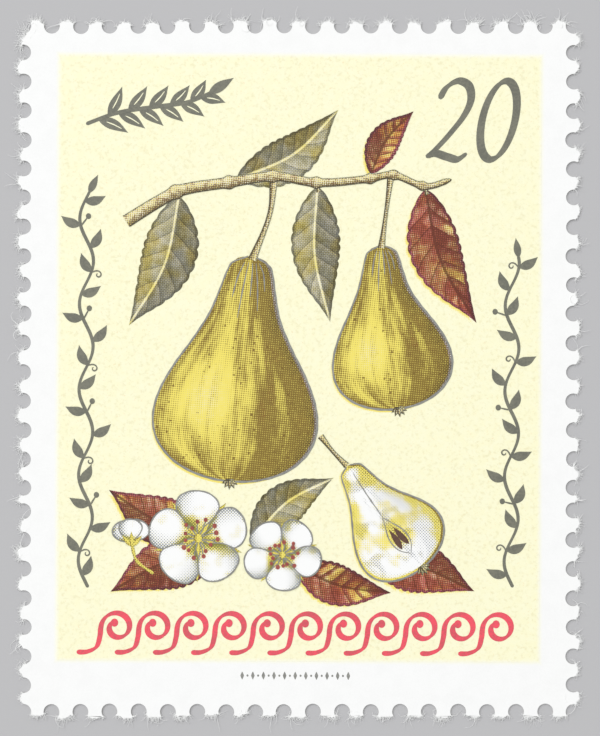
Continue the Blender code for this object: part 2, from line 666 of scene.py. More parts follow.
# %% [markdown]
# ## Printing inks
# The picture is printed in process colours. Each ink is a screen of dots about a tenth of a millimetre
# apart, turned to an angle of its own so that the screens cross without a coarse pattern. A dot grows
# with the tone. The group below turns a tone from 0 to 1 into such dots, and a second group prints
# yellow, red, brown and grey over white paper, each ink letting through its share of the light.

# %% Halftone screen
SCREEN_PITCH = 0.106
# How softly a dot's rim fades, from the crispest print to the haziest.
SHARP = 0.12
CRISP = 0.42
SOFT = 0.62
FAINT = 1.3


def new_group(name, inputs, output, kind):
    """A group of nodes: its web, its inputs as tones and the socket that its result goes to."""
    group = bpy.data.node_groups.new(name, "ShaderNodeTree")
    for wanted in inputs:
        group.interface.new_socket(wanted, in_out="INPUT", socket_type="NodeSocketFloat")
    group.interface.new_socket(output, in_out="OUTPUT", socket_type=kind)
    given = group.nodes.new("NodeGroupInput")
    result = group.nodes.new("NodeGroupOutput")
    return group, {wanted: Tone(given.outputs[wanted]) for wanted in inputs}, result.inputs[output]


def halftone_group():
    group, given, ink = new_group("halftone_screen", ("Tone", "Angle", "Softness"), "Ink", "NodeSocketFloat")
    place = place_on_stamp(group)
    across, up, _ = parts_of(turned(place, given["Angle"]))
    turns = math.tau / (SCREEN_PITCH * MM)
    waves = work_out("COSINE", across * turns) + work_out("COSINE", up * turns)
    tone = given["Tone"] * (noise(place, 5.0 / MM) * 0.4 + 0.8)
    span = given["Softness"] * 2.0
    start = 1.0 - tone * (span + 1.0)
    plug(ink, (waves * 0.25 + 0.5).step(start, start + span))
    return group


HALFTONE = halftone_group()


def screened(tree, tone, softness, angle=0.0):
    """The share of the paper that an ink's dots cover."""
    node = add(tree, "ShaderNodeGroup", {"Tone": tone, "Softness": softness, "Angle": math.radians(angle)},
               node_tree=HALFTONE)
    return Tone(node.outputs["Ink"])


print("screen of", round(1 / SCREEN_PITCH, 1), "dots in a millimetre")

# %% Four inks over white
# Each ink's colour, the angle of its screen in degrees, and how much softer its dots are than the rest.
INKS = {
    "Yellow": ((0.94, 0.80, 0.15, 1.0), 0.0, 0.6),
    "Red": ((0.66, 0.16, 0.22, 1.0), 75.0, 0.0),
    "Brown": ((0.25, 0.185, 0.12, 1.0), 6.0, 0.0),
    "Grey": ((0.27, 0.30, 0.35, 1.0), 45.0, 0.0),
}
INK_FINISH = (0.5, 0.35)


def process_group():
    group, given, result = new_group("process_print", (*INKS, "Softness"), "Color", "NodeSocketColor")
    colour = WHITE
    for name, (ink, angle, spread) in INKS.items():
        covered = screened(group, given[name], given["Softness"] + spread, angle)
        colour = mixed(covered, colour, ink, "MULTIPLY")
    plug(result, colour)
    return group


PROCESS = process_group()
print("inks:", ", ".join(INKS))

# %% [markdown]
# A film of ink, made further down, keeps where each of its points lies as an attribute named flow: across
# it from -1 to 1, along it from 0 to 1, and half its width in millimetres. A recipe reads such a spot and
# gives each ink's tone there, so veins, shades and rims follow the shape that they are printed in.

# %% A spot on a film
class Spot:
    """Where a point lies on its film and on the stamp."""

    def __init__(self, place):
        self.place = place
        self.tree = place.id_data
        flow = add(self.tree, "ShaderNodeAttribute", {}, attribute_name="flow")
        self.across, self.along, self.width = parts_of(flow.outputs["Vector"])

    def inset(self):
        """How far the spot lies in from the film's edge, in millimetres."""
        return (1.0 - abs(self.across)) * self.width

    def noise(self, per_mm, detail=2.0):
        return noise(self.place, per_mm / MM, detail)

    def streaks(self, fine, long):
        """Noise drawn out along the film."""
        spread = add(self.tree, "ShaderNodeCombineXYZ", {"X": self.across * fine, "Y": self.along * long})
        return noise(spread.outputs["Vector"], 1.0, 3.0)

    def glow(self, across, along, wide, tall):
        """1 at a spot on the film, falling to 0 round it."""
        x = (self.across - across) / wide
        y = (self.along - along) / tall
        return work_out("SQRT", x * x + y * y).step(1.0, 0.0)


def printed(name, recipe, softness=CRISP):
    """A material of process inks, with their tones from a recipe."""
    material, shader, place = new_material(name, *INK_FINISH)
    tones = recipe(Spot(place))
    inks = add(material.node_tree, "ShaderNodeGroup", {**tones, "Softness": softness}, node_tree=PROCESS)
    plug(shader.inputs["Base Color"], inks.outputs["Color"])
    return material


# %% [markdown]
# Line work and figures are printed solid in a mixed grey, and the ornament at the foot in coral red. A
# solid ink still lies a little unevenly on the paper, which a slow and a fine noise give. The cream tint
# of the panel is mottled more softly, with a few warm specks.

# %% Solid inks and the cream panel
MOTTLE = (0.80, 0.75, 0.47, 1.0)
SPECK = (0.90, 0.74, 0.46, 1.0)


def solid_ink(name, light, dark):
    material, shader, place = new_material(name, *INK_FINISH)
    uneven = noise(place, 1.0 / MM) * 0.4 + noise(place, 9.0 / MM, 3.0) * 0.6
    plug(shader.inputs["Base Color"], mixed(uneven.step(0.38, 0.62), dark, light))
    return material


def cream_tint():
    material, shader, place = new_material("cream_tint", *INK_FINISH)
    colour = mixed(noise(place, 3.0 / MM, 4.0).step(0.35, 0.65), CREAM_THIN, CREAM)
    colour = mixed(noise(place, 5.5 / MM, 3.0).step(0.50, 0.72, 0.0, 0.55), colour, MOTTLE)
    colour = mixed(noise(place, 8.0 / MM).step(0.60, 0.74, 0.0, 0.60), colour, SPECK)
    plug(shader.inputs["Base Color"], tinted(place, WHITE, colour))
    return material


GREY = solid_ink("grey_ink", (0.20, 0.198, 0.152, 1.0), (0.147, 0.148, 0.118, 1.0))
PEN_GREY = solid_ink("pen_ink", (0.30, 0.30, 0.275, 1.0), (0.22, 0.22, 0.205, 1.0))
CORAL = solid_ink("coral_ink", (0.90, 0.088, 0.132, 1.0), (0.63, 0.095, 0.12, 1.0))
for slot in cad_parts["ink"].material_slots:
    slot.material = cream_tint()
print("panel middle", [round(part, 2) for part in PANEL_MIDDLE], "mm")

# %% [markdown]
# ## Films of ink
# Every printed shape is a thin film that follows a spine: a fruit, a leaf, a petal or a pen stroke. A
# spine runs smoothly through a few chosen places. A film's width runs just as smoothly through a few
# chosen widths, so one formula serves both.

# %% Spines and widths
NEARBY = 0.004


def smooth_through(marks, values, closed=False):
    """Runs smoothly through the values that stand at the marks."""
    last = len(marks) - 1
    slopes = []
    for number in range(last + 1):
        before, after = max(number - 1, 0), min(number + 1, last)
        slopes.append((values[after] - values[before]) / (marks[after] - marks[before]))
    if closed:
        round_the_seam = marks[1] + marks[-1] - marks[-2]
        slopes[0] = slopes[-1] = (values[1] - values[-2]) / round_the_seam

    def at(mark):
        number = 0
        while number < last - 1 and mark > marks[number + 1]:
            number += 1
        span = marks[number + 1] - marks[number]
        f = (mark - marks[number]) / span
        return (values[number] * (1 + 2 * f) * (1 - f) ** 2
                + slopes[number] * (span * f * (1 - f) ** 2)
                + values[number + 1] * (f * f * (3 - 2 * f))
                - slopes[number + 1] * (span * f * f * (1 - f)))

    return at


class Spine:
    """A curve through points, read at a share of its length from 0 to 1."""

    def __init__(self, points, closed=False):
        stops = [Vector(point) for point in points]
        marks = [0.0]
        for one, other in zip(stops, stops[1:]):
            marks.append(marks[-1] + (other - one).length)
        self.length = marks[-1]
        self.closed = closed
        self.through = smooth_through(marks, stops, closed)

    def __call__(self, share):
        return self.through(min(max(share, 0.0), 1.0) * self.length)

    def heading(self, share):
        ahead, behind = share + NEARBY, share - NEARBY
        if self.closed:
            ahead, behind = ahead % 1.0, behind % 1.0
        return (self(ahead) - self(behind)).normalized()


def profile(*stops):
    """A width through (share, width) stops."""
    through = smooth_through(*zip(*stops))
    return lambda share: max(0.0, through(share))


def evenly(half_width, shape):
    """A reach that is the same to the left and to the right."""
    return lambda share: (half_width * shape(share),) * 2


print("spines ready")

# %% [markdown]
# A film starts as a grid, whose rows are set along the spine and spread to its width. It keeps where each
# point lies as its attribute flow. Films of one plate are joined, welded at their poles and given their
# thickness together. The whole print isn't quite square to the holes, so each plate is turned a little.

# %% Films
# A film's thickness, the step from one order of films to the next, the step within an order, and the
# lowest film's gap over the panel.
FILM = 0.003
LAYER = 0.005
SLIVER = 0.0004
GAP = 0.002


def film(form, rows, columns, level, round_ends=False):
    """A flat film of a form, which is a spine and its reach to the left and right at each share.

    With round_ends the rows lie closer together towards both ends, where a round shape turns fast.
    """
    spine, reach = form
    bpy.ops.mesh.primitive_grid_add(x_subdivisions=columns, y_subdivisions=rows, size=2.0)
    sheet = bpy.context.object
    flow = sheet.data.attributes.new("flow", "FLOAT_VECTOR", "POINT")
    rows_made = {}
    for vertex, kept in zip(sheet.data.vertices, flow.data):
        across, along = vertex.co.x, (vertex.co.y + 1) / 2
        if round_ends:
            along = 0.5 - 0.5 * math.cos(math.pi * along)
        key = round(along, 6)
        if key not in rows_made:
            rows_made[key] = (spine(along), spine.heading(along), reach(along))
        middle_point, heading, (left, right) = rows_made[key]
        width = right if across > 0 else left
        vertex.co.x = middle_point.x + heading.y * across * width
        vertex.co.y = middle_point.y - heading.x * across * width
        vertex.co.z = level
        kept.vector = (across, along, width)
    return sheet


def level_of(order, lines=False, number=0):
    """The height of a film's top. Later orders lie over earlier ones.

    Films of one order that cross each other take a number each, which lifts them by a sliver.
    """
    return INK_TOP + FILM + GAP + LAYER * order + (LAYER / 2 if lines else 0.0) + SLIVER * number


print("film thickness", FILM, "mm")

# %% Plates
POLE_WELD = 0.0002


def press(films, name, material, moved=(0.0, 0.0, 0.0)):
    """Makes one plate's films a finished piece. A plate that registers badly is moved."""
    select_only(*films)
    if len(films) > 1:
        bpy.ops.object.join()
    plate = bpy.context.object
    edit_welded(POLE_WELD)
    bpy.ops.mesh.dissolve_degenerate(threshold=POLE_WELD / 2)
    bpy.ops.object.mode_set(mode="OBJECT")
    thicken = plate.modifiers.new("ink", "SOLIDIFY")
    thicken.thickness = FILM
    thicken.offset = -1.0
    bpy.ops.object.modifier_apply(modifier=thicken.name)
    about = Matrix.Translation(PANEL_MIDDLE)
    turn_print = about @ Matrix.Rotation(PRINT_TURN, 4, "Z") @ about.inverted()
    plate.data.transform(turn_print @ Matrix.Translation(moved))
    finish_piece(plate, name, "ink", material)


print("the print is turned by", round(math.degrees(PRINT_TURN), 2), "degrees")

# %% [markdown]
# ## The picture: pears on a twig
# The panel carries a plain botanical picture. Two pears hang from a twig among leaves, and blossoms and a
# halved fruit lie below. Every shape is a form, named here once, so that the colour film, the yellow
# plate under it and the pen line round it all follow the same form.

# %% Forms of fruit, petals and leaves
# A shape's width, from 0 to 1, at shares of its length.
PEAR = profile((0.0, 0.0), (0.015, 0.16), (0.06, 0.26), (0.15, 0.33), (0.27, 0.43), (0.39, 0.60),
               (0.51, 0.80), (0.63, 0.95), (0.74, 1.0), (0.84, 0.93), (0.92, 0.74), (0.965, 0.52),
               (0.99, 0.29), (0.998, 0.13), (1.0, 0.0))
PETAL = profile((0.0, 0.10), (0.12, 0.30), (0.30, 0.70), (0.50, 0.95), (0.66, 1.0), (0.82, 0.88),
                (0.93, 0.60), (0.985, 0.30), (1.0, 0.0))
LEAF = profile((0.0, 0.0), (0.05, 0.30), (0.14, 0.62), (0.28, 0.92), (0.42, 1.0), (0.58, 0.88),
               (0.74, 0.58), (0.88, 0.24), (0.96, 0.07), (1.0, 0.0))


def rotated(vector, angle):
    return Vector((vector.x * math.cos(angle) - vector.y * math.sin(angle),
                   vector.x * math.sin(angle) + vector.y * math.cos(angle)))


def round_from(centre, distance, angle, flatten=1.0):
    """The place at a distance and an angle from a centre, on a circle seen a little from the side."""
    return Vector((centre[0] + distance * math.cos(angle), centre[1] + flatten * distance * math.sin(angle)))


def bowed(base, tip, bend):
    """A spine from base to tip that bows sideways by bend."""
    base, tip = Vector(base), Vector(tip)
    across = Vector((tip.y - base.y, base.x - tip.x)).normalized()
    return Spine([base, base.lerp(tip, 0.5) + across * bend, tip])


def drop(base, tip, half_width, level, bend=0.0, rows=14):
    """A small pointed leaf or tear shape."""
    return film((bowed(base, tip, bend), evenly(half_width, LEAF)), rows, 2, level)


def pear_form(points, half_width):
    return Spine(points), evenly(half_width, PEAR)


def petal_form(centre, radius, angle, flatten=1.0):
    places = [(0.13, 0.0), (0.6, 0.04), (1.0, 0.0)]
    spine = Spine([round_from(centre, out * radius, angle + turn, flatten) for out, turn in places])
    return spine, evenly(0.43 * radius * (flatten if abs(math.cos(angle)) > 0.8 else 1.0), PETAL)


def leaf_form(base, tip, bend, left, right, lobes=13):
    """A leaf with a bowed midrib and a finely toothed edge."""
    def reach(share):
        width = LEAF(share) * (0.92 + 0.08 * abs(math.sin(math.pi * lobes * share ** 1.1)) ** 0.7)
        return left * width, right * width

    return bowed(base, tip, bend), reach


# %% Where the fruit and leaves lie
# Each form is paired with its order in the stack of films.
PEARS = {
    "front": (pear_form([(-2.30, 5.55), (-2.75, 1.6), (-3.35, -5.55)], 4.05), 3),
    "back": (pear_form([(4.05, 6.1), (4.25, 3.0), (4.95, -1.95)], 2.95), 2),
}
HALF_TOP, HALF_FOOT = Vector((2.45, -4.75)), Vector((6.15, -9.75))
HALF_ORDER = 3
GREEN_LEAVES = {
    "hanging": (leaf_form((-5.9, 8.5), (-8.35, 2.1), -0.55, 1.45, 1.30), 1),
    "between": (leaf_form((0.9, 9.0), (1.55, 2.3), 0.45, 1.30, 1.15), 1),
    "rising": (leaf_form((-3.1, 9.3), (1.9, 12.75), 0.55, 1.05, 1.20), 4),
    "lower": (leaf_form((-2.3, -8.5), (1.75, -5.35), -0.45, 1.05, 1.15), 1),
}
RED_LEAVES = {
    "right": (leaf_form((6.2, 8.9), (8.75, 2.3), 0.55, 1.20, 1.40), 1),
    "upper": (leaf_form((3.5, 9.6), (5.6, 12.7), -0.3, 0.85, 0.75), 4),
    "fallen": (leaf_form((-3.7, -9.0), (-9.2, -11.0), 0.45, 1.45, 1.25), 3),
    "far": (leaf_form((-4.2, -8.3), (-9.3, -6.0), -0.40, 1.25, 1.35), 2),
    "foot": (leaf_form((-0.1, -9.7), (4.6, -11.0), 0.35, 1.05, 1.05), 3),
    "under": (leaf_form((3.4, -9.3), (8.7, -10.9), -0.35, 1.25, 1.35), 2),
}
print(len(GREEN_LEAVES) + len(RED_LEAVES), "leaves,", len(PEARS), "pears")

# %% [markdown]
# ### Pears
# A pear's skin is printed yellow all over, with brown over it that thickens towards the shaded side and
# the rim and runs down the fruit in streaks, a red blush, and the small brown dots of its pores.

# %% Pear skin
PORES = 2.1
PEAR_ROWS, PEAR_COLUMNS = 64, 24


def under_yellow(spot):
    """0 in the sliver at the right rim that the shifted yellow plate leaves bare, otherwise 1."""
    return spot.across.step(-0.02, 0.02).at_least(spot.inset().step(0.11, 0.19))


def pear_skin(spot):
    shade = spot.across.step(0.35, -0.95)
    rim = spot.inset().step(0.9, 0.0)
    foot = spot.along.step(0.80, 1.0)
    neck = spot.along.step(0.30, 0.02)
    light = spot.glow(0.38, 0.64, 0.55, 0.26)
    lines = spot.streaks(7.0, 2.4).step(0.36, 0.68)
    mottle = spot.streaks(3.2, 3.6).step(0.34, 0.66)
    pores = add(spot.tree, "ShaderNodeTexVoronoi", {"Vector": spot.place, "Scale": PORES / MM}, feature="F1")
    dots = Tone(pores.outputs["Distance"]).step(0.16, 0.09)
    russet = spot.noise(0.7).step(0.44, 0.62)
    brown = (shade * 0.36 + rim * 0.20 + foot * 0.16 + neck * 0.12 + lines * 0.24 + mottle * 0.24
             - light * 0.30 + 0.20)
    blush = spot.glow(-0.45, 0.58, 0.75, 0.34) * lines
    covered = under_yellow(spot)
    return {
        "Yellow": (0.97 - light * 0.26) * covered,
        "Red": blush * 0.34 - covered * 0.14 + russet * 0.12 + 0.14,
        "Brown": (brown.at_most(0.72) + dots * 0.30).at_least(0.0),
        "Grey": (shade * 0.25 + rim * 0.25 - russet * 0.12 + 0.10) * 0.8,
    }


press([film(form, PEAR_ROWS, PEAR_COLUMNS, level_of(order), True) for form, order in PEARS.values()],
      "pear_skins", printed("pear_print", pear_skin))

# %% [markdown]
# ### Leaves
# A leaf's side veins leave the midrib at an angle. Read along the leaf and shifted by the distance from
# the midrib, their tone repeats like a ramp: dark at a vein and lighter towards the next, which gives the
# quilted look. Summer leaves are grey-green, and turned ones red-brown with purple rims.

# %% Leaf tones
VEINS = 8.0
VEIN_SLANT = 1.15
LEAF_ROWS, LEAF_COLUMNS = 102, 8


def leaf_parts(spot):
    """The ramp from vein to vein, the veins, the midrib, the rim and the shaded half."""
    from_rib = abs(spot.across)
    ramp = work_out("FRACT", spot.along * VEINS - from_rib * VEIN_SLANT + 2.0)
    vein = ramp.step(0.10, 0.0).at_least(ramp.step(0.94, 1.0))
    rib = (from_rib * spot.width).step(0.08, 0.03)
    return ramp, vein, rib, spot.inset().step(0.20, 0.05), spot.across.step(0.06, -0.06)


def green_leaf(spot):
    ramp, vein, rib, rim, half = leaf_parts(spot)
    cloud = spot.noise(0.9, 3.0)
    olive = spot.noise(0.55).step(0.44, 0.60)
    grey = ramp * 0.20 + half * 0.14 + cloud * 0.26 + vein * 0.16 + rim * 0.28 - rib * 0.34 - olive * 0.12
    return {
        "Yellow": cloud * 0.40 + olive * 0.22 + 0.30,
        "Red": cloud * 0.24,
        "Brown": half * 0.10 + rim * 0.08 - rib * 0.3 + vein * 0.10 + olive * 0.12 + 0.40,
        "Grey": (grey + 0.30).at_least(0.0),
    }


def red_leaf(spot):
    ramp, vein, rib, rim, half = leaf_parts(spot)
    cloud = spot.noise(0.8, 3.0).step(0.36, 0.66)
    between = ramp.step(0.15, 0.55) * rim.step(0.5, 0.0)
    gleam = spot.noise(0.45, 1.0).step(0.44, 0.60) * between
    pale = spot.noise(0.75).step(0.50, 0.64) * between
    dark = (vein * 0.26).at_least(rib * 0.42)
    return {
        "Yellow": 0.64 - rim * 0.50 + gleam * 0.20 - pale * 0.10,
        "Red": cloud * 0.24 + rim * 0.20 - gleam * 0.18 - pale * 0.12 + 0.62,
        "Brown": half * 0.12 + cloud * 0.06 + dark - gleam * 0.18 - pale * 0.16 + 0.55,
        "Grey": rim * 0.26 + half * 0.12 - gleam * 0.14 + 0.18,
    }


for name, leaves, recipe, softness in [("green_leaves", GREEN_LEAVES, green_leaf, FAINT),
                                       ("red_leaves", RED_LEAVES, red_leaf, SOFT)]:
    films = [film(form, LEAF_ROWS, LEAF_COLUMNS, level_of(order)) for form, order in leaves.values()]
    press(films, name, printed(name + "_print", recipe, softness))

# %% [markdown]
# ### Twig and stalks
# The twig swells where a leaf or a fruit leaves it, so its width is a taper with a few rounded bumps.
# Bark is printed in all four inks, with rings across it. A pear keeps the dried crown of its sepals.

# %% Twig
TWIG = Spine([(-8.5, 7.2), (-6.9, 8.2), (-5.8, 8.75), (-3.4, 9.15), (-1.2, 9.45), (0.9, 9.15),
              (3.4, 9.35), (4.6, 9.55), (6.2, 9.0), (7.5, 9.35)])
KNOTS = [0.17, 0.33, 0.46, 0.59, 0.75, 0.82, 0.91]
KNOT_SWELL, KNOT_LENGTH = 0.10, 0.012
TWIG_ORDER, STALK_ORDER = 5, 4.5
CROWN_ANGLES = [-70, 70, -36, 36, 0]
CROWN_LENGTH, CROWN_HALF_WIDTH = 0.42, 0.10


def twig_reach(share):
    width = 0.34 - 0.19 * share
    for knot in KNOTS:
        width += KNOT_SWELL * math.exp(-((share - knot) / KNOT_LENGTH) ** 2)
    close = min(1.0, (1.0 - share) / 0.02) ** 0.5
    return width * close, width * 0.9 * close


def stalk(points, thin, thick):
    return Spine(points), evenly(1.0, lambda share: thin + (thick - thin) * (2 * share - 1.0) ** 2)


STALKS = [
    stalk([(-1.25, 9.4), (-1.45, 7.6), (-2.3, 5.35)], 0.12, 0.22),
    stalk([(4.5, 9.5), (4.3, 7.9), (4.05, 5.95)], 0.10, 0.18),
    stalk([(-5.7, 8.7), (-5.9, 8.4)], 0.09, 0.12),
    stalk([(6.1, 9.05), (6.3, 8.6)], 0.08, 0.12),
    stalk([(0.85, 9.2), (0.95, 8.7)], 0.08, 0.12),
    stalk([(1.1, -3.3), (1.75, -4.1), (2.4, -4.75)], 0.10, 0.17),
]


def bark(spot):
    rings = spot.streaks(1.2, 60.0).step(0.45, 0.62)
    shade = spot.across.step(-0.7, 0.9)
    rim = spot.inset().step(0.10, 0.02)
    return {
        "Yellow": 0.55,
        "Red": rings * 0.15 + 0.18,
        "Brown": shade * 0.40 + rings * 0.22 + 0.26,
        "Grey": shade * 0.20 + rim * 0.55 + 0.20,
    }


def crown(spine, order):
    """The sepals at a pear's foot."""
    foot, heading = spine(1.0), spine.heading(0.98)
    films = []
    for number, turn in enumerate(CROWN_ANGLES):
        tip = foot + rotated(heading, math.radians(turn)) * CROWN_LENGTH
        films.append(drop(foot - heading * 0.10, tip, CROWN_HALF_WIDTH, level_of(order, True, number + 1)))
    return films


twig_films = [film((TWIG, twig_reach), 260, 6, level_of(TWIG_ORDER))]
twig_films += [film(form, 24, 4, level_of(STALK_ORDER)) for form in STALKS]
for (spine, _), order in PEARS.values():
    twig_films += crown(spine, order)
twig_films += crown(Spine([HALF_TOP, HALF_FOOT]), HALF_ORDER)
press(twig_films, "twig_and_stalks", printed("bark_print", bark))

# %% [markdown]
# ### Blossoms
# Pear blossom is white, so its petals are bare paper within the cream, with a breath of yellow and grey
# at the claw. Each flower is five petals set round a centre.

# %% Petals
FLOWERS = {
    "left": ((-4.9, -8.35), 2.45, 0.30, 0.95),
    "right": ((-0.75, -9.15), 1.95, 0.95, 0.90),
}
FIRST_PETAL = 4
PETAL_COUNT = 5
PETAL_ROWS, PETAL_COLUMNS = 24, 10
BUD_FOOT = Vector((-8.15, -8.75))
BUD_LEANS = [-0.42, 0.40, 0.0]


def petal_tone(spot):
    claw = spot.along.step(0.50, 0.0)
    lines = spot.streaks(9.0, 1.0).step(0.46, 0.62)
    fold = spot.across.step(0.15, -0.9)
    blot = spot.noise(0.9).step(0.48, 0.68)
    rim = spot.inset().step(0.35, 0.0)
    return {
        "Yellow": claw * 0.85 + fold * 0.30 + blot * 0.35,
        "Brown": claw * lines * 0.20,
        "Grey": claw * 0.28 + lines * claw * 0.40 + fold * 0.42 + rim * 0.20 + blot * 0.16,
    }


def petals_of(flower):
    centre, radius, turn, flatten = FLOWERS[flower]
    return [(petal_form(centre, radius, turn + math.tau * petal / PETAL_COUNT, flatten),
             FIRST_PETAL + petal) for petal in range(PETAL_COUNT)]


PETALS = petals_of("right") + petals_of("left")
PETALS += [(petal_form(BUD_FOOT, 1.32, 1.62 + lean), FIRST_PETAL + number)
           for number, lean in enumerate(BUD_LEANS)]
press([film(form, PETAL_ROWS, PETAL_COLUMNS, level_of(order), True) for form, order in PETALS],
      "petals", printed("petal_print", petal_tone, SHARP))

# %% [markdown]
# ### The halved pear
# A cut pear shows a thin skin, pale flesh that darkens a little towards the core, and a core line with
# seeds. Skin and flesh are two films, one a little narrower than the other.

# %% Halved pear
HALF_WIDTH = 2.30
HALF_BOW = 0.12
HALF_ROWS, HALF_COLUMNS = 56, 16
SKIN_EDGE = 0.13


def cut_form(inset):
    """The form of the cut face, drawn in from its outline."""
    along = (HALF_FOOT - HALF_TOP).normalized()
    spine = bowed(HALF_TOP + along * inset * 1.2, HALF_FOOT - along * inset, HALF_BOW)
    return spine, evenly(HALF_WIDTH - inset, PEAR)


def cut_skin(spot):
    shade = spot.across.step(0.8, -0.9)
    return {"Yellow": 0.95, "Red": 0.05, "Brown": shade * 0.40 + 0.30, "Grey": shade * 0.25}


def flesh(spot):
    rim = spot.inset().step(0.55, 0.0)
    heart = spot.glow(0.0, 0.68, 0.62, 0.24)
    inner = spot.glow(0.0, 0.69, 0.34, 0.12)
    grain = spot.noise(3.5, 3.0).step(0.42, 0.62)
    patches = spot.noise(0.75).step(0.38, 0.68)
    olive = spot.noise(1.1, 1.0).step(0.50, 0.68)
    thread = abs(spot.across).step(0.10, 0.03)
    low = spot.across.step(0.25, -1.0)
    strokes = spot.streaks(4.5, 2.2).step(0.42, 0.66)
    yellow = rim * 0.42 + heart * 0.36 + patches * 0.52 + olive * 0.26 + low * 0.22
    grey = low * 0.38 + heart * grain * 0.32 + olive * 0.34 + thread * 0.18 + rim * 0.16 + strokes * 0.20
    return {
        "Yellow": yellow.at_most(0.80),
        "Brown": inner * 0.30 + thread * 0.10 + low * 0.12 + olive * 0.16,
        "Grey": grey.at_most(0.36),
    }


CUT_SKIN, CUT_FLESH = cut_form(0.0), cut_form(SKIN_EDGE)
for form, order, name, material in [
    (CUT_SKIN, HALF_ORDER, "cut_skin", printed("cut_skin_print", cut_skin)),
    (CUT_FLESH, HALF_ORDER + 1, "cut_flesh", printed("flesh_print", flesh, SHARP)),
]:
    press([film(form, HALF_ROWS, HALF_COLUMNS, level_of(order), True)], name, material)

# %% [markdown]
# ### The yellow plate
# The plates of a stamp never register perfectly. Here the yellow one sits a little low and to the left,
# and shows as a bright fringe, so the films of the strong shapes are laid once more beneath, moved aside.

# %% Yellow fringe
FRINGE = (-0.16, -0.14, 0.0)
FRINGE_YELLOW = (0.90, 0.76, 0.17, 1.0)


def fringe_material():
    """Yellow dots over the cream tint, which grow from nothing at a film's edge."""
    material, shader, place = new_material("yellow_plate_print", *INK_FINISH)
    dots = screened(material.node_tree, Spot(place).inset().step(-0.06, 0.22, 0.0, 0.85), 1.0)
    plug(shader.inputs["Base Color"], mixed(dots, CREAM, FRINGE_YELLOW))
    return material


fringed = [(form, PEAR_ROWS, True) for form, _ in PEARS.values()] + [(CUT_SKIN, PEAR_ROWS, True)]
fringed += [(form, LEAF_ROWS, False) for form, _ in RED_LEAVES.values()]
press([film(form, rows, 2, level_of(0, number=number), rounded)
       for number, (form, rows, rounded) in enumerate(fringed)],
      "yellow_plate", fringe_material(), FRINGE)

# %% [markdown]
# ## Line work
# The key plate draws the contours with a pen: lines of about a tenth of a millimetre that swell and fade.
# A contour is read off a form's two rims, so it always fits the colour film beneath it.

# %% Pen strokes
# The slant at which the nib is held, how far apart a stroke's rows lie, and the widths of the pens.
NIB = math.radians(38)
STROKE_STEP = 0.055
PEAR_PEN, HALF_PEN, PETAL_PEN = 0.105, 0.10, 0.075
INNER_PEN, THREAD_PEN, FINE_PEN = 0.065, 0.06, 0.055


def pen_line(points, thick, level, swell=0.6):
    """A line that is thick in its middle and fades at its ends."""
    spine = Spine(points)

    def width(share):
        pressure = 1.0 - swell + swell * math.sin(math.pi * share) ** 0.6
        return pressure * (1.0 + 0.14 * math.sin(9.0 * share * spine.length))

    return film((spine, evenly(0.5 * thick, width)), max(6, round(spine.length / STROKE_STEP)), 1, level)


def nib_stroke(points, thick, thin, level, closed=False):
    """A stroke of a broad nib: its width follows its direction, and its ends are rounded."""
    spine = Spine(points, closed)

    def width(share):
        heading = spine.heading(share)
        broad = abs(heading.x * math.sin(NIB) - heading.y * math.cos(NIB))
        wide = thin + (thick - thin) * broad
        if not closed:
            from_end = min(share, 1.0 - share) * spine.length
            wide *= max(0.15, 1.0 - max(0.0, 1.0 - 2.2 * from_end / thick) ** 2) ** 0.5
        return wide

    return film((spine, evenly(0.5, width)), max(8, round(spine.length / STROKE_STEP)), 2, level)


def upright(centre, half_height):
    x, y = centre
    return Spine([(x, y - half_height), (x, y), (x, y + half_height)])


def circle(share):
    return math.sqrt(max(0.0, 1.0 - (2.0 * share - 1.0) ** 2))


def dot(centre, radius, level, rows=8):
    """A round dot of ink, a little longer than wide."""
    return film((upright(centre, 1.1 * radius), evenly(radius, circle)), rows, 4, level, True)


# %% Contours
def rim_point(form, share, hand):
    """The point on a form's right rim, if hand is above 0, or else on its left one."""
    spine, reach = form
    heading = spine.heading(share)
    left, right = reach(share)
    return spine(share) + Vector((heading.y, -heading.x)) * (right if hand > 0 else -left)


def contour(form, start, steps=44):
    """Down one rim from a share of the spine, round the end and back up the other rim."""
    shares = [start + (1.0 - start) * math.sin(math.pi / 2 * step / steps) for step in range(steps + 1)]
    down = [rim_point(form, share, 1) for share in shares]
    up = [rim_point(form, share, -1) for share in reversed(shares[:-1])]
    return down + up


def drawn_round(form, order, thick):
    """A fruit's contour, from close to its top."""
    return pen_line(contour(form, 0.004), thick, level_of(order, True), 0.4)


lines = [drawn_round(form, order, PEAR_PEN) for form, order in PEARS.values()]
lines += [pen_line(contour(form, 0.12, 20), PETAL_PEN, level_of(order, True)) for form, order in PETALS]
lines.append(drawn_round(CUT_SKIN, HALF_ORDER, HALF_PEN))
print(len(lines), "contours")

# %% Lines within the shapes
PEAR_LINES = [(-0.62, 0.15), (-0.36, 0.24), (-0.10, 0.18), (0.20, 0.28), (0.50, 0.19)]
CORE = [(0.0, 0.49), (0.09, 0.56), (0.20, 0.68), (0.17, 0.79), (0.0, 0.87)]
THREAD = [(0.0, 0.05), (0.01, 0.27), (0.0, 0.49)]


def on_form(form, across, along):
    """A place on a film, given across it from -1 to 1 and along it from 0 to 1."""
    return form[0](along).lerp(rim_point(form, along, across), abs(across))


def drawn_on(form, places, thick, order):
    return pen_line([on_form(form, *place) for place in places], thick, level_of(order, True), 0.7)


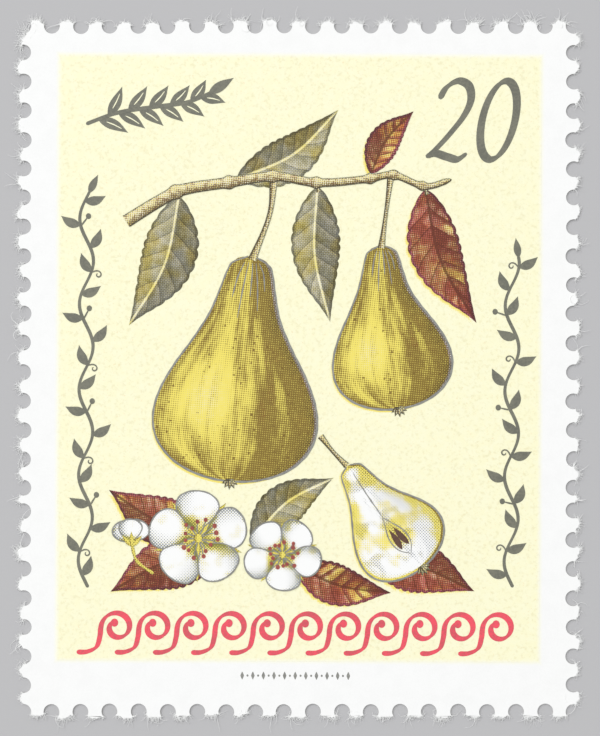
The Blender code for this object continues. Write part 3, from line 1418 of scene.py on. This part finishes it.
for (form, order), thick in zip(PEARS.values(), [INNER_PEN, FINE_PEN]):
    for across, end in PEAR_LINES:
        places = [(across * 0.75, 0.03), (across * 0.95, 0.5 * end), (across, end)]
        lines.append(drawn_on(form, places, thick, order))
seeds = []
for hand in (-1, 1):
    core = [(hand * across, along) for across, along in CORE]
    lines.append(drawn_on(CUT_FLESH, core, INNER_PEN, HALF_ORDER + 1))
    blunt, pointed = on_form(CUT_FLESH, hand * 0.105, 0.80), on_form(CUT_FLESH, hand * 0.065, 0.60)
    seeds.append(drop(blunt, pointed, 0.15, level_of(HALF_ORDER + 2, True, hand), hand * 0.03))
lines.append(drawn_on(CUT_FLESH, THREAD, THREAD_PEN, HALF_ORDER + 1))
print(len(lines), "pen lines and", len(seeds), "seeds")

# %% Stamens
STAMENS = 15
STAMEN_PLAY = 0.12
STAMEN_BEND = 0.15
STAMEN_LENGTH = (0.24, 0.43)
STAMEN_ROOT = 0.12
ANTHER = (0.085, 0.115)
TOP_OF_FLOWER = FIRST_PETAL + PETAL_COUNT
stamen = random.Random(35)
anthers = []
for centre, radius, turn, flatten in FLOWERS.values():
    for number in range(STAMENS):
        angle = turn + math.tau * number / STAMENS + stamen.uniform(-STAMEN_PLAY, STAMEN_PLAY)
        length = radius * stamen.uniform(*STAMEN_LENGTH)
        root = round_from(centre, STAMEN_ROOT, angle)
        bent = angle + stamen.uniform(-STAMEN_BEND, STAMEN_BEND)
        bend = round_from(centre, 0.55 * length, bent, flatten)
        tip = round_from(centre, length, angle, flatten)
        lines.append(pen_line([root, bend, tip], FINE_PEN, level_of(TOP_OF_FLOWER, True, number), 0.3))
        anthers.append(dot(tip, stamen.uniform(*ANTHER), level_of(TOP_OF_FLOWER + 2, number=number), 6))
press(lines, "pen_lines", PEN_GREY)
press(seeds, "seeds", solid_ink("seed_ink", (0.13, 0.065, 0.04, 1.0), (0.08, 0.04, 0.03, 1.0)))
press(anthers, "anthers", solid_ink("anther_ink", (0.42, 0.10, 0.075, 1.0), (0.26, 0.06, 0.05, 1.0)))

# %% Flower hearts and sepals
# Sizes in a flower are shares of its radius.
HEART, UNDER_HEART = 0.085, 0.30
SEPAL_REACH, SEPAL_HALF_WIDTH = 0.93, 0.13
SEPAL_LEANS = [-0.75, 0.75, 0.05]
UNDER_PETALS = FIRST_PETAL - 0.4


def heart_tone(spot):
    shade = spot.across.step(0.3, -1.0)
    rim = spot.inset().step(0.10, 0.0)
    return {"Yellow": 0.96, "Brown": shade * 0.34 + 0.20, "Grey": rim * 0.24 + 0.26}


hearts = []
for centre, radius, turn, flatten in FLOWERS.values():
    hearts.append(dot(centre, HEART * radius, level_of(TOP_OF_FLOWER + 2)))
    hearts.append(dot(centre, UNDER_HEART * radius, level_of(FIRST_PETAL - 0.6), 16))
    for petal in range(PETAL_COUNT):
        angle = turn + math.tau * (petal + 0.5) / PETAL_COUNT
        tip = round_from(centre, SEPAL_REACH * radius, angle, flatten)
        hearts.append(drop(centre, tip, SEPAL_HALF_WIDTH * radius, level_of(UNDER_PETALS, number=petal)))
for number, lean in enumerate(SEPAL_LEANS):
    tip = BUD_FOOT + rotated(Vector((0.0, 0.72)), lean)
    hearts.append(drop(BUD_FOOT - Vector((0.0, 0.02)), tip, 0.12, level_of(FIRST_PETAL + 3, True, number)))
hearts.append(pen_line([(-7.1, -10.1), (-7.9, -9.5), BUD_FOOT], 0.15, level_of(UNDER_PETALS), 0.1))
press(hearts, "flower_hearts", printed("heart_print", heart_tone))

# %% [markdown]
# ## The value
# A plain number in the upper right corner, drawn with a broad nib that is held at a slant, so that
# downstrokes are thick and cross strokes thin. It leans to the right as italics do.

# %% Numeral
DIGIT_HEIGHT = 3.85
DIGIT_WIDTH = 2.25
DIGIT_FOOT = 10.35
LEAN = 0.20
THICK, THIN = 0.44, 0.20
TWO = [
    [(0.06, 0.77), (0.17, 0.92), (0.40, 1.0), (0.64, 0.94), (0.75, 0.77), (0.68, 0.57), (0.46, 0.34),
     (0.22, 0.14), (0.04, 0.025)],
    [(0.02, 0.03), (0.22, 0.07), (0.48, 0.03), (0.72, 0.0), (0.90, 0.075)],
]
NOUGHT = [(0.50 + 0.36 * math.cos(math.tau * step / 20), 0.5 + 0.5 * math.sin(math.tau * step / 20))
          for step in range(21)]


def digit_stroke(places, left, order, closed=False):
    """A stroke of a digit, whose places are given across it and up it from 0 to 1."""
    points = [(left + DIGIT_WIDTH * across + LEAN * DIGIT_HEIGHT * up, DIGIT_FOOT + DIGIT_HEIGHT * up)
              for across, up in places]
    return nib_stroke(points, THICK, THIN, level_of(order), closed)


numeral = [digit_stroke(TWO[0], 6.15, 1), digit_stroke(TWO[1], 6.15, 2), digit_stroke(NOUGHT, 8.28, 1, True)]
press(numeral, "numeral", GREY)

# %% [markdown]
# ## Grey ornaments
# Sprigs of small leaves fill the corner opposite the numeral and climb both sides of the picture. Stem,
# leaves, tendrils and berries are strokes of the same pen.

# %% Corner sprig
CORNER_STEM = Spine([(-10.5, 12.0), (-9.0, 12.55), (-7.2, 12.85), (-5.5, 13.1), (-4.3, 13.6)])
SPRIG_LEAVES = 11
BLADE_ANGLE = 46
BLADE_LENGTH, BLADE_SHORTENS = 1.62, 0.035
BLADE_HALF_WIDTH, BLADE_BEND = 0.27, 0.07
sprig = [nib_stroke([CORNER_STEM(step / 10) for step in range(11)], 0.24, 0.16, level_of(2))]
midribs = []
for number in range(SPRIG_LEAVES):
    share = 0.10 + 0.80 * number / (SPRIG_LEAVES - 1)
    root, heading = CORNER_STEM(share), CORNER_STEM.heading(share)
    hand = 1 if number % 2 else -1
    blade = rotated(heading, hand * math.radians(BLADE_ANGLE - number))
    blade *= BLADE_LENGTH - BLADE_SHORTENS * number
    sprig.append(drop(root, root + blade, BLADE_HALF_WIDTH, level_of(1), hand * BLADE_BEND, 18))
    aside = Vector((blade.y, -blade.x)).normalized() * hand * BLADE_BEND
    midribs.append(pen_line([root + blade * 0.26 + aside * 0.7, root + blade * 0.5 + aside,
                             root + blade * 0.76 + aside * 0.7], FINE_PEN, level_of(3)))
sprig.append(drop(CORNER_STEM(0.97), CORNER_STEM(1.0) + Vector((1.05, 0.70)), 0.24, level_of(3)))
press(sprig, "corner_sprig", GREY)
press(midribs, "sprig_midribs", solid_ink("cream_line", CREAM, CREAM_THIN))

# %% Side vines
WAVE_LENGTH = 4.2
SWING = 0.34
STEM_STEP = 0.35
LEAF_STEP = 1.15
LEAF_LENGTH, LEAF_HALF_WIDTH = 1.10, 0.23
LEAF_ANGLE, TENDRIL_ANGLE, BERRY_ANGLE = 48, 40, 52
BERRY_DISTANCE, BERRY_RADIUS = 0.62, 0.13
TWINE = 0.075
TENDRIL_STEP = 0.075


def tendril(root, heading, hand):
    """Points of a tendril that leaves the stem sideways and winds up tighter and tighter."""
    place, way = root, rotated(heading, hand * math.radians(TENDRIL_ANGLE))
    points = [place]
    for step in range(14):
        place = place + way * TENDRIL_STEP
        way = rotated(way, hand * math.radians(3.0 + 3.8 * step))
        points.append(place)
    return points


def vine(x, low, high, first_hand):
    """A wavy stem with leaves at its bends, and a tendril or a berry opposite every other leaf."""
    level = level_of(1)
    steps = round((high - low) / STEM_STEP)
    heights = [low + (high - low) * step / steps for step in range(steps + 1)]
    stem = [(x + SWING * math.sin(math.tau * y / WAVE_LENGTH), y) for y in heights]
    parts = [nib_stroke(stem, 0.17, 0.10, level)]
    spine = Spine(stem)
    leaves = round((high - low) / LEAF_STEP)
    for number in range(leaves):
        share = (number + 0.5) / leaves
        root, heading = spine(share), spine.heading(share)
        hand = first_hand if number % 2 else -first_hand
        tip = root + rotated(heading, hand * math.radians(LEAF_ANGLE)) * LEAF_LENGTH
        parts.append(drop(root + heading * 0.05, tip, LEAF_HALF_WIDTH, level + LAYER, -hand * 0.10))
        if number % 4 == 1:
            parts.append(pen_line(tendril(root, heading, -hand), TWINE, level + 1.5 * LAYER))
        elif number % 4 == 3:
            berry = root + rotated(heading, -hand * math.radians(BERRY_ANGLE)) * BERRY_DISTANCE
            parts.append(pen_line([root, root.lerp(berry, 0.6), berry], TWINE, level + 1.5 * LAYER))
            parts.append(dot(berry, BERRY_RADIUS, level + 2 * LAYER))
    parts.append(drop(spine(0.995), spine(1.0) + spine.heading(1.0) * 0.9, 0.18, level + LAYER))
    return parts


press(vine(-10.45, -10.8, 8.7, 1) + vine(10.5, -10.7, 5.6, -1), "side_vines", GREY)

# %% [markdown]
# ## The coral band
# A running scroll in a single bright ink closes the picture at its foot. One wave is drawn and set side
# by side along the band.

# %% Running scroll
WAVES = 11
BAND_LEFT, BAND_RIGHT = -9.90, 10.75
BAND_MIDDLE = -13.0
WAVE_WIDTH = (BAND_RIGHT - BAND_LEFT) / WAVES
SCROLL_THICK, SCROLL_THIN = 0.30, 0.15
TAIL = [(-0.95, -0.98), (-0.45, -0.96), (0.02, -0.72), (0.19, -0.20)]
CURL_STEPS = 24
CURL_START, CURL_TURN = 183, 420
CURL_RADIUS, CURL_TIGHTENS = 0.82, 0.48
BEAD = 0.18


def wave(left):
    """One curl of the running scroll, whose tail runs in under the curl before it."""
    points = [(left + x, BAND_MIDDLE + y) for x, y in TAIL]
    centre = (left + 0.56 * WAVE_WIDTH, BAND_MIDDLE + 0.25)
    for step in range(CURL_STEPS + 1):
        share = step / CURL_STEPS
        radius = CURL_RADIUS - CURL_TIGHTENS * share ** 0.9
        points.append(round_from(centre, radius, math.radians(CURL_START - CURL_TURN * share)))
    bead = points[-1] + Vector((0.04, -0.06))
    return [nib_stroke(points, SCROLL_THICK, SCROLL_THIN, level_of(1)), dot(bead, BEAD, level_of(2), 12)]


band = []
for number in range(WAVES):
    band += wave(BAND_LEFT + number * WAVE_WIDTH)
press(band, "coral_scroll", CORAL)

# %% [markdown]
# ## A fine border
# The lower margin of such a stamp carries a line of very small print. A plain row of lozenges and dots
# takes its place, printed by the key plate straight on the paper.

# %% Lozenges and dots
BORDER_MARKS = 21
BORDER_LEFT, BORDER_RIGHT = -2.70, 2.52
BORDER_MIDDLE = -15.10
LOZENGE_WIDTH, LOZENGE_HEIGHT = 0.18, 0.40
BORDER_DOT = 0.05
ON_PAPER = PAPER_TOP + FILM + SLIVER


def diamond(share):
    return (1.0 - abs(2.0 * share - 1.0)) ** 0.8


border = []
for number in range(BORDER_MARKS):
    centre = (BORDER_LEFT + (BORDER_RIGHT - BORDER_LEFT) * number / (BORDER_MARKS - 1), BORDER_MIDDLE)
    if number % 2:
        border.append(dot(centre, BORDER_DOT, ON_PAPER))
    else:
        lozenge = (upright(centre, LOZENGE_HEIGHT / 2), evenly(LOZENGE_WIDTH / 2, diamond))
        border.append(film(lozenge, 12, 2, ON_PAPER))
press(border, "foot_border", PEN_GREY)

# %% [markdown]
# ## Floor, light and camera
# The stamp lies face up on a plain pale floor, under one large soft lamp at the upper left and an even
# pale sky. The camera looks straight down on it.

# %% Floor and light
FLOOR_SIZE = 4.0
FLOOR_GREY = (0.50, 0.50, 0.51, 1.0)
LAMP_PLACE = (-0.38, 0.38, 0.90)
LAMP_WIDTH = 0.85
LAMP_WATTS = 6.6
SKY_STRENGTH = 0.60

bpy.ops.object.select_all(action="DESELECT")
bpy.ops.mesh.primitive_plane_add(size=FLOOR_SIZE, location=(0.0, 0.0, -0.02 * MM))
floor = bpy.context.object
floor.name = "floor"
floor_paint, shader, _ = new_material("floor_paint", 0.9, 0.3)
plug(shader.inputs["Base Color"], FLOOR_GREY)
floor.data.materials.append(floor_paint)
bpy.ops.object.transform_apply(location=True)

bpy.ops.object.light_add(type="AREA", location=LAMP_PLACE)
lamp = bpy.context.object
lamp.data.shape = "DISK"
lamp.data.size = LAMP_WIDTH
lamp.data.energy = LAMP_WATTS
lamp.rotation_euler = (-lamp.location).to_track_quat("-Z", "Y").to_euler()

sky = bpy.data.worlds.new("pale_sky")
sky.use_nodes = True
background = sky.node_tree.nodes["Background"]
background.inputs["Color"].default_value = (1.0, 1.0, 1.0, 1.0)
background.inputs["Strength"].default_value = SKY_STRENGTH
bpy.context.scene.world = sky
bpy.context.scene.view_settings.view_transform = "Standard"
print("lamp", LAMP_WATTS, "W, sky", SKY_STRENGTH)

# %% Camera
CAMERA_HEIGHT = 0.1006
CAMERA_RIGHT, CAMERA_UP = 0.074 * MM, 0.042 * MM
bpy.ops.object.camera_add(location=(CAMERA_RIGHT, CAMERA_UP, PAPER_TOP * MM + CAMERA_HEIGHT))
camera = bpy.context.object
camera.rotation_euler = (0.0, 0.0, 0.0)
camera.data.lens = 100.0
camera.data.sensor_width = 36.0
camera.data.clip_start = 0.001
camera.data.clip_end = 10.0
bpy.context.scene.camera = camera
print("camera", round(CAMERA_HEIGHT * 1000, 1), "mm above the stamp")
